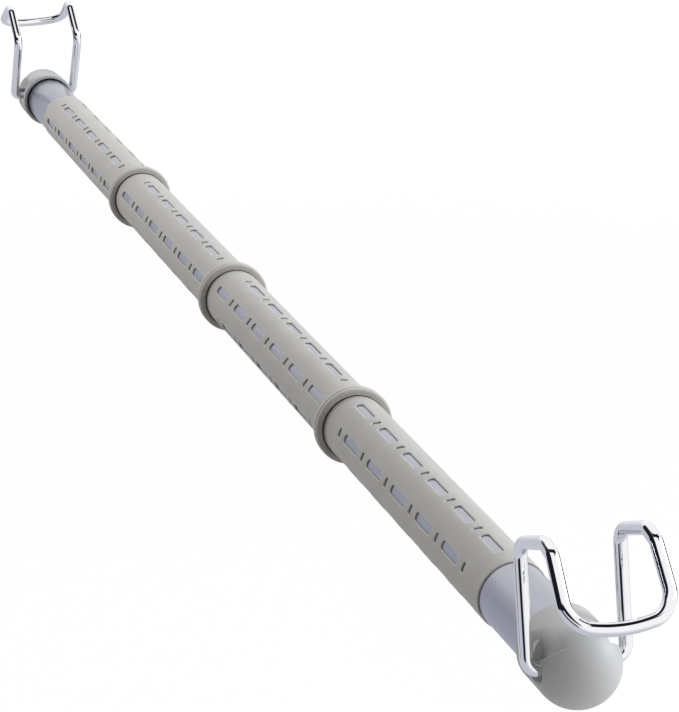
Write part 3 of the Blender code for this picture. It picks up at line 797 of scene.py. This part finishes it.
class HANGER_OT_rings(bpy.types.Operator):
    """Make the three spacer rings over the joints between the sleeves"""

    bl_idname = "hanger.rings"
    bl_label = "Spacer rings"

    def execute(self, context):
        settings = context.scene.hanger_rings
        material = soft_rubber("ring_rubber", settings.light, settings.dark)
        for number in (1, 2, 3):
            node = "spacer_ring_%d" % number
            low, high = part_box(node)
            sleeve = "grip_sleeve_%d" % number
            outer = outer_radius(node)
            bore = outer_radius(sleeve) + settings.bore_gap
            web_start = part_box(sleeve)[1].x - high.x + WEB_GAP
            web_bore = outer_radius("outer_tube") + context.scene.hanger_tubes.coat + WEB_GAP
            profile = ring_profile(settings, high.x - low.x, outer, bore, web_bore, web_start)
            points, faces = closed_turning(profile + (high.x, 0.0), RING_SIDES)
            # Painted highlight with rubbed wear: the rubber drawn lighter towards the ridges
            above_bore = np.hypot(points[:, 1], points[:, 2]) - bore
            edge = np.clip(above_bore / (outer - bore), 0, 1) ** RIDGE_SHARPNESS
            points[np.abs(above_bore) < settings.bore_gap] += settings.bore_sag * SAG_SIDE
            piece = add_piece("flanged_ring_%d" % number, points, faces, material, edge)
            stand_in(piece, node)
        return {'FINISHED'}


# Tubes

TUBE_SIDES = 128
MOUTH_CLEARANCE = 0.3 * MM

# Radius of the rolled mouth's bends over that of the tubes' edges
MOUTH_BEND_RATIO = 6


def add_tube(name, node, material, corners, radii, step_deg):
    """Turn a closed profile (x, r) of rounded corners about the bar, as the visible form of a tube's node."""
    points, faces = closed_turning(rounded(corners, radii, step_deg, closed=True), TUBE_SIDES)
    stand_in(add_piece(name, points, faces, material), node)


class HANGER_OT_tubes(bpy.types.Operator):
    """Make the two telescopic steel tubes"""

    bl_idname = "hanger.tubes"
    bl_label = "Steel tubes"

    def execute(self, context):
        settings = context.scene.hanger_tubes
        material = satin_steel("tube_steel", settings.light, settings.dark)
        wall, edge = settings.wall, settings.edge
        inner_radius = outer_radius("inner_tube")
        low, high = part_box("outer_tube")
        radius = outer_radius("outer_tube") + settings.coat
        mouth = inner_radius + MOUTH_CLEARANCE
        roll = high.x - settings.mouth_roll
        bend = MOUTH_BEND_RATIO * edge
        corners = [
            (high.x, mouth + wall), (roll, radius), (low.x, radius), (low.x, radius - wall),
            (roll, radius - wall), (high.x, mouth)]
        radii = (edge, bend, edge, edge, bend, edge)
        add_tube("satin_outer_tube", "outer_tube", material, corners, radii, step_deg=6.0)
        low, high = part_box("inner_tube")
        corners = [
            (high.x, inner_radius), (low.x, inner_radius),
            (low.x, inner_radius - wall), (high.x, inner_radius - wall)]
        add_tube("satin_inner_tube", "inner_tube", material, corners, (edge,) * 4, step_deg=15.0)
        return {'FINISHED'}


# End caps

CAP_SIDES = 360
CAP_SPACING = 0.24 * MM
CAP_GRAIN = 0.03 * MM

# Distance within which a point counts as lying on a cap's outside
ON_SURFACE = 0.01 * MM


def smooth_step(value, low, high):
    """0 below low, 1 above high and 3 s s - 2 s s s between."""
    s = np.clip((value - low) / (high - low), 0, 1)
    return s * s * (3 - 2 * s)


def carve_pockets(points, settings, radius):
    """Sink both side recesses and the pin bores into a cap's points, outward from the hinge, across and up.

    A point lies inside the recess by the larger of two distances: the lesser of those from the sloping front
    edge, which passes the hinge at pocket_edge, and from the hinge's level, and that inside the round about
    the hinge. Over a narrow wall it then sinks by the recess's depth, which is full about the hinge and runs
    out smoothly further away.
    """
    soft = settings.pocket_soft
    out, across, up = points.T
    front = (up - out) / math.sqrt(2) - settings.pocket_edge
    from_hinge = np.hypot(out, up)
    margin = np.maximum(np.minimum(front, up), settings.pocket_round - from_hinge)
    inside = smooth_step(margin, -soft, soft)
    running_out = smooth_step(from_hinge, settings.pocket_round, settings.pocket_reach)
    width = np.abs(across) - inside * settings.pocket_depth * (1 - running_out)
    bore = smooth_step(settings.pin_bore - from_hinge, -soft / 2, soft / 2)
    near_side = np.abs(across) > settings.socket_radius
    pin_floor = radius - settings.pocket_depth - settings.pin_depth
    width = np.where(near_side, width - bore * np.maximum(0.0, width - pin_floor), width)
    return np.column_stack((out, np.sign(across) * width, up))


def cap_surface(settings, rim, radius):
    """Points and faces of a cap, outward from the hinge: a profile (x, r) turned about the bar, then carved.

    The profile runs down a quarter circle and along the skirt to its rim, and back inside to the cavity's
    floor and the end of the socket.
    """
    quarter = math.pi / 2
    angles = np.linspace(0, quarter, math.ceil(radius * quarter / CAP_SPACING) + 1)
    dome = radius * np.column_stack((np.cos(angles), np.sin(angles)))
    bore = radius - settings.skirt_wall
    corners = [(0.0, radius), (rim, radius), (rim, bore), (-settings.floor, bore)]
    skirt = rounded(corners, (0, settings.rim_round, settings.rim_round, 0), step_deg=15.0)
    socket, socket_end = settings.socket_radius, settings.socket_depth - settings.floor
    inside = np.array(((-settings.floor, socket), (socket_end, socket), (socket_end, 0.0)))
    outside = divided(np.vstack((dome[:-1], skirt)), CAP_SPACING)
    points, faces = solid_turning(np.vstack((outside, inside)), CAP_SIDES)
    from_axis = np.hypot(points[:, 1], points[:, 2])
    from_middle = np.where(points[:, 0] > 0, np.linalg.norm(points, axis=1), from_axis)
    on_outside = np.abs(from_middle - radius) < ON_SURFACE
    points[on_outside] = carve_pockets(points[on_outside], settings, radius)
    return points, faces


class HANGER_OT_caps(bpy.types.Operator):
    """Make the two domed end caps with the recesses for the hooks' feet"""

    bl_idname = "hanger.caps"
    bl_label = "End caps"

    def execute(self, context):
        settings = context.scene.hanger_caps
        material = moulded_plastic("cap_plastic", settings.light, settings.dark, CAP_GRAIN)
        for end, outward in (("near", 1), ("far", -1)):
            node = end + "_cap"
            hinge = hinge_x(end + "_hook_fold")
            low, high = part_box(node)
            rim = outward * ((low.x if outward > 0 else high.x) - hinge)
            points, faces = cap_surface(settings, rim, outer_radius(node))
            placed = points * (outward, outward, 1.0) + (hinge, 0.0, 0.0)
            stand_in(add_piece("domed_%s_cap" % end, placed, faces, material), node)
        return {'FINISHED'}


# Wire hooks

WIRE_SIDES = 48
WIRE_SPACING = 1.5 * MM

# How far the wire's ends stand out and draw in, in radii of the wire
WIRE_END_ROUND = 0.15


def hook_line(settings):
    """Centre line of a hook's wire from foot to foot, with the leg upright: outward, across, up.

    One half runs from the foot's end up the leg, over the shoulder and two bends at the apex, and down the
    arm to the tip. Past the apex a point moves on by bow (1 - (across / tip's width) squared) in the arm's
    direction, rising smoothly to the tip, so that the cross run bows. The other half mirrors the first.
    """
    tip_width = settings.half_width + settings.splay
    shoulder = np.array((0.0, settings.half_width, settings.leg_height))
    apex = np.array((settings.apex_out, settings.half_width, settings.apex_height))
    tip = np.array((settings.tip_out, tip_width, settings.tip_height))
    back = (shoulder - apex) / np.linalg.norm(shoulder - apex)
    arm = (tip - apex) / np.linalg.norm(tip - apex)
    corners = [
        (0.0, settings.pin_end, 0.0),
        (0.0, settings.half_width, 0.0),
        shoulder,
        apex + settings.apex_cut * back,
        apex + settings.apex_cut * arm,
        tip,
        (settings.tip_out, 0.0, settings.tip_height)]
    apex_bends = (settings.apex_bend, settings.apex_bend)
    bends = (0, settings.foot_bend, settings.shoulder_bend, *apex_bends, settings.tip_bend, 0)
    half = divided(rounded(corners, bends, step_deg=4.0), WIRE_SPACING)
    across = np.minimum(1.0, half[:, 1:2] / tip_width)
    past_apex = smooth_step(half[:, :1], settings.apex_out, settings.tip_out)
    half = half + past_apex * settings.bow * (1 - across ** 2) * arm * (1.0, 0.0, 1.0)
    return np.vstack((half, half[-2::-1] * (1, -1, 1)))


def swept_wire(line, radius):
    """Points and faces of a round wire along a line, with closed, slightly rounded ends.

    Each section is radius (cos a n + sin a b). The normal n is carried along the line by taking away its part
    along each new tangent, and b is the tangent times n.
    """
    tangents = np.gradient(line, axis=0)
    tangents = tangents / np.linalg.norm(tangents, axis=1, keepdims=True)
    normals = np.empty_like(line)
    normal = np.array((1.0, 0.0, 0.0))
    for i, tangent in enumerate(tangents):
        normal = normal - (normal @ tangent) * tangent
        normal = normal / np.linalg.norm(normal)
        normals[i] = normal
    others = np.cross(tangents, normals)
    angle = np.arange(WIRE_SIDES) * FULL_TURN / WIRE_SIDES
    cos, sin = np.cos(angle)[None, :, None], np.sin(angle)[None, :, None]
    circle = cos * normals[:, None] + sin * others[:, None]
    tube = line[:, None] + radius * circle
    inset = WIRE_END_ROUND * radius
    start = line[0] - inset * tangents[0] + (radius - inset) * circle[0]
    finish = line[-1] + inset * tangents[-1] + (radius - inset) * circle[-1]
    points = np.vstack((start, tube.reshape(-1, 3), finish))
    rows = len(line) + 2
    ring = np.arange(WIRE_SIDES)
    ends = np.vstack((ring[::-1], (rows - 1) * WIRE_SIDES + ring))
    return points, [grid_quads(rows, WIRE_SIDES, False, True)[:, ::-1], ends]


class HANGER_OT_hooks(bpy.types.Operator):
    """Make the two bent wire hooks"""

    bl_idname = "hanger.hooks"
    bl_label = "Wire hooks"

    def execute(self, context):
        settings = context.scene.hanger_hooks
        material = bright_chrome("hook_chrome", settings.chrome)
        points, faces = swept_wire(hook_line(settings), settings.wire_radius)
        for end, outward, lean in (("near", 1, settings.near_lean), ("far", -1, settings.far_lean)):
            node = end + "_hook"
            out, up = swung(points[:, 0], points[:, 2], lean)
            x = outward * out + hinge_x(node + "_fold")
            placed = np.column_stack((x, outward * points[:, 1], up))
            stand_in(add_piece("bent_%s_hook" % end, placed, faces, material), node)
        return {'FINISHED'}


# Pieces inside

NYLON_GRAIN = 0.02 * MM


class HANGER_OT_inside(bpy.types.Operator):
    """Give the plugs and the lock inside the tubes their nylon"""

    bl_idname = "hanger.inside"
    bl_label = "Plugs and lock"

    def execute(self, context):
        settings = context.scene.hanger_inside
        plug = moulded_plastic("plug_nylon", settings.plug_light, settings.plug_dark, NYLON_GRAIN)
        lock = moulded_plastic("lock_nylon", settings.lock_light, settings.lock_dark, NYLON_GRAIN)
        finishes = {"near_cap_plug": plug, "far_cap_plug": plug, "lock_plug": lock, "lock_ring": lock}
        for node, material in finishes.items():
            mesh = frame["nodes"][node].data
            mesh.materials.clear()
            mesh.materials.append(material)
        return {'FINISHED'}


# Studio

CAMERA_AXES = np.array(Euler(CAMERA_TURN).to_matrix())
CLIP_START = 10 * MM
WHITE = (1.0, 1.0, 1.0)

# Directions in the camera's axes, right, up and back, and the cosines between which each side fades in
FRONT_SIDE = (-0.12, -0.2, 0.97)
FRONT_FADE = (-0.15, 0.4)
LIT_SIDE = (0.72, 0.66, -0.2)
LIT_FADE = (-0.75, 0.9)
BRIGHT_MIRROR_SIDE = (0.6, 0.75, 0.2)
BRIGHT_MIRROR_FADE = (-0.45, 0.25)

# Lamps: the key light's direction in the camera's axes, then distances, places, aims and sizes in metres
KEY_SIDE = (0.9, 0.38, 0.15)
KEY_DISTANCE = 1.9
KEY_AIM = (0.0, 0.0, 0.0)
KEY_SIZE = 1.2
FILL_PLACE = (-0.5, -0.45, 0.5)
FILL_AIM = (-0.3, 0.0, 0.0)
FILL_SIZE = 0.4
FRONT_PLACE = (1.06, 0.12, -0.2)
FRONT_AIM = (0.42, 0.0, 0.0)
FRONT_SIZE = 0.06
FRONT_CONE = math.radians(8.5)
FRONT_BLEND = 0.7

FLOOR_RINGS = 11
FLOOR_SIDES = 96

# Shares of the floor's radius between which it fades to white, and how white it is in its middle
FLOOR_FADE = (0.4, 0.95)
FLOOR_WHITE = 0.9

# Dark things that metal mirrors: the corners of a panel, then strips with half their widths
DARK_PANEL = ((-0.90, -0.32, -0.36), (-0.32, 0.10, 0.94), (-0.48, 0.87, -0.14))
DARK_STRIPS = (
    ((-0.92, -0.05, 0.39), (-0.15, -0.47, 0.87), 0.13),
    ((-0.50, 0.86, 0.12), (0.42, 0.89, 0.18), 0.23),
    ((0.36, 0.92, -0.15), (0.45, 0.70, 0.55), 0.08),
    ((0.78, 0.60, 0.15), (0.30, 0.94, -0.15), 0.16),
    ((0.90, 0.31, -0.30), (0.15, -0.08, -0.98), 0.12),
    ((-0.40, 0.20, 0.89), (0.22, 0.16, 0.96), 0.20),
)
STRIP_SOFT = 0.04
STRIP_COLOUR = (0.01, 0.01, 0.015)


def from_camera(right, up, back):
    """World direction of one given in the camera's own axes."""
    direction = CAMERA_AXES @ (right, up, back)
    return direction / np.linalg.norm(direction)


def floor_paint(settings):
    """Floor that shows nearly white, and quite white at its rim, with a trace of its matt shading."""
    material, tree = new_material("pale_floor")
    in_view = tree.ray("Is Camera Ray") + tree.ray("Is Transmission Ray")
    flat = tree.stretched(tree.place(), (1.0, 1.0, 0.0))
    from_middle = tree.node('ShaderNodeVectorMath', {"operation": 'LENGTH'}, {0: flat}, "Value")
    rim = tree.eased(from_middle, *(share * settings.floor_radius for share in FLOOR_FADE))
    matt = tree.node('ShaderNodeBsdfDiffuse', {}, {"Color": four(settings.floor_colour)})
    white = tree.node('ShaderNodeEmission', {}, {"Color": four(WHITE), "Strength": 1.0})
    shown = in_view * (FLOOR_WHITE + rim * (1 - FLOOR_WHITE))
    mixed = tree.node('ShaderNodeMixShader', {}, {0: shown, 1: matt, 2: white})
    tree.node('ShaderNodeOutputMaterial', {}, {"Surface": mixed})
    return material


def dark_strip(tree, direction, start, end, half_width):
    """1 on the arc between two directions, falling to 0 over soft edges.

    With n the normal of the arc's plane and m its middle, a direction d lies on it if |d . n| is under the
    half width and d . m is over the value at the arc's ends.
    """
    normal = np.cross(start, end)
    middle = (start + end) / np.linalg.norm(start + end)
    reach = float(start @ middle)
    across = abs(tree.dot(direction, normal / np.linalg.norm(normal)))
    beside = tree.eased(across, half_width, half_width + STRIP_SOFT)
    return (1 - beside) * tree.eased(tree.dot(direction, middle), reach - STRIP_SOFT, reach)


def dark_panel(tree, direction, corners):
    """1 inside a triangle of directions, on the inner side of the three planes through its edges."""
    sides = []
    for i, corner in enumerate(corners):
        normal = np.cross(corners[i - 2], corners[i - 1])
        normal = normal * np.sign(normal @ corner) / np.linalg.norm(normal)
        sides.append(tree.eased(tree.dot(direction, normal), -STRIP_SOFT, STRIP_SOFT))
    return sides[0] * sides[1] * sides[2]


class HANGER_OT_stage(bpy.types.Operator):
    """Set up the floor, the surroundings, the lights and the camera"""

    bl_idname = "hanger.stage"
    bl_label = "Stage"

    def execute(self, context):
        settings = context.scene.hanger_stage
        context.scene.view_settings.view_transform = 'Standard'
        self.add_camera(context, settings)
        self.add_floor(settings)
        self.add_world(context, settings)
        self.add_lamps(context, settings)
        return {'FINISHED'}

    def add_camera(self, context, settings):
        """Add the camera and look through it."""
        lens = bpy.data.cameras.new("camera")
        lens.lens = settings.camera_lens
        lens.clip_start = CLIP_START
        camera = bpy.data.objects.new("camera", lens)
        camera.location = settings.camera_place
        camera.rotation_euler = Euler(settings.camera_turn)
        context.scene.collection.objects.link(camera)
        context.scene.camera = camera

    def add_floor(self, settings):
        """Add a round floor of points (r cos t, r sin t) below the bar."""
        radii = np.linspace(0, settings.floor_radius, FLOOR_RINGS + 1)[1:]
        turn = np.arange(FLOOR_SIDES) * FULL_TURN / FLOOR_SIDES
        x = radii[:, None] * np.cos(turn)
        y = radii[:, None] * np.sin(turn)
        points = np.stack((x, y, np.full_like(x, -settings.floor_drop)), axis=-1).reshape(-1, 3)
        faces = grid_quads(FLOOR_RINGS, FLOOR_SIDES, False, True).tolist() + [list(range(FLOOR_SIDES))]
        mesh = bpy.data.meshes.new("floor")
        mesh.from_pydata(points.tolist(), [], faces)
        mesh.materials.append(floor_paint(settings))
        floor = bpy.data.objects.new("floor", mesh)
        floor.visible_diffuse = False
        floor.visible_glossy = False
        bpy.context.scene.collection.objects.link(floor)

    def add_world(self, context, settings):
        """Add the surroundings: white in view, soft light by direction, dark shapes for metal to mirror."""
        world = bpy.data.worlds.new("studio")
        world.use_nodes = True
        context.scene.world = world
        tree = Tree(world.node_tree)
        in_view = tree.ray("Is Camera Ray") + tree.ray("Is Transmission Ray")
        direction = tree.node('ShaderNodeTexCoord', output="Generated")
        front = tree.eased(tree.dot(direction, from_camera(*FRONT_SIDE)), *FRONT_FADE)
        side = tree.eased(tree.dot(direction, from_camera(*LIT_SIDE)), *LIT_FADE)
        soft = tree.blend(front, settings.backdrop, tree.blend(side, settings.shade, settings.lit))
        bright = tree.eased(tree.dot(direction, from_camera(*BRIGHT_MIRROR_SIDE)), *BRIGHT_MIRROR_FADE)
        mirrored = tree.blend(bright, settings.dim_mirror, WHITE)
        darks = [dark_panel(tree, direction, [from_camera(*corner) for corner in DARK_PANEL])]
        for start, end, half_width in DARK_STRIPS:
            darks.append(dark_strip(tree, direction, from_camera(*start), from_camera(*end), half_width))
        for dark in darks:
            mirrored = tree.blend(dark, mirrored, STRIP_COLOUR)
        colour = tree.blend(tree.ray("Is Glossy Ray"), soft, mirrored)
        colour = tree.blend(in_view, colour, WHITE)
        shader = tree.node('ShaderNodeBackground', {}, {"Color": colour, "Strength": 1.0})
        tree.node('ShaderNodeOutputWorld', {}, {"Surface": shader})

    def add_lamps(self, context, settings):
        """Add the key light, and the lights on the far and the near end, which metal doesn't mirror."""
        key_place = from_camera(*KEY_SIDE) * KEY_DISTANCE
        key = self.add_lamp(context, "key", key_place, KEY_AIM, KEY_SIZE, settings.key_power)
        key.data.color = settings.key_colour
        fill = self.add_lamp(context, "fill", FILL_PLACE, FILL_AIM, FILL_SIZE, settings.fill_power)
        fill.visible_glossy = False
        front = self.add_lamp(
            context, "front", FRONT_PLACE, FRONT_AIM, FRONT_SIZE, settings.front_power, FRONT_CONE)
        front.visible_glossy = False

    def add_lamp(self, context, name, place, aim, size, power, cone=0.0):
        """Add a round white lamp that faces a point, or a spot where a cone is given, and return it."""
        lamp = bpy.data.lights.new(name, 'SPOT' if cone else 'AREA')
        if cone:
            lamp.shadow_soft_size = size / 2
            lamp.spot_size = cone
            lamp.spot_blend = FRONT_BLEND
        else:
            lamp.shape = 'DISK'
            lamp.size = size
        lamp.energy = power
        holder = bpy.data.objects.new(name, lamp)
        holder.location = place
        holder.rotation_mode = 'QUATERNION'
        holder.rotation_quaternion = (Vector(place) - Vector(aim)).to_track_quat('Z', 'Y')
        context.scene.collection.objects.link(holder)
        return holder


class HANGER_PT_sidebar(bpy.types.Panel):
    """Lists the pieces of the hanger bar"""

    bl_idname = "HANGER_PT_sidebar"
    bl_label = "Hanger Bar"
    bl_space_type = 'VIEW_3D'
    bl_region_type = 'UI'
    bl_category = "Hanger Bar"

    def draw(self, context):
        for operator in OPERATORS:
            self.layout.operator(operator.bl_idname)


OPERATORS = (
    HANGER_OT_stage,
    HANGER_OT_tubes,
    HANGER_OT_sleeves,
    HANGER_OT_rings,
    HANGER_OT_caps,
    HANGER_OT_hooks,
    HANGER_OT_inside,
)
CLASSES = (*SETTINGS.values(), *OPERATORS, HANGER_PT_sidebar)


def register():
    """Register the classes and give the scene its settings."""
    for item in CLASSES:
        bpy.utils.register_class(item)
    for name, group in SETTINGS.items():
        setattr(bpy.types.Scene, name, PointerProperty(type=group))


def unregister():
    """Take the settings and the classes away again."""
    for name in SETTINGS:
        delattr(bpy.types.Scene, name)
    for item in reversed(CLASSES):
        bpy.utils.unregister_class(item)


def main():
    """Make every piece."""
    register()
    bpy.ops.hanger.stage()
    bpy.ops.hanger.tubes()
    bpy.ops.hanger.sleeves()
    bpy.ops.hanger.rings()
    bpy.ops.hanger.caps()
    bpy.ops.hanger.hooks()
    bpy.ops.hanger.inside()


if __name__ == "__main__":
    main()
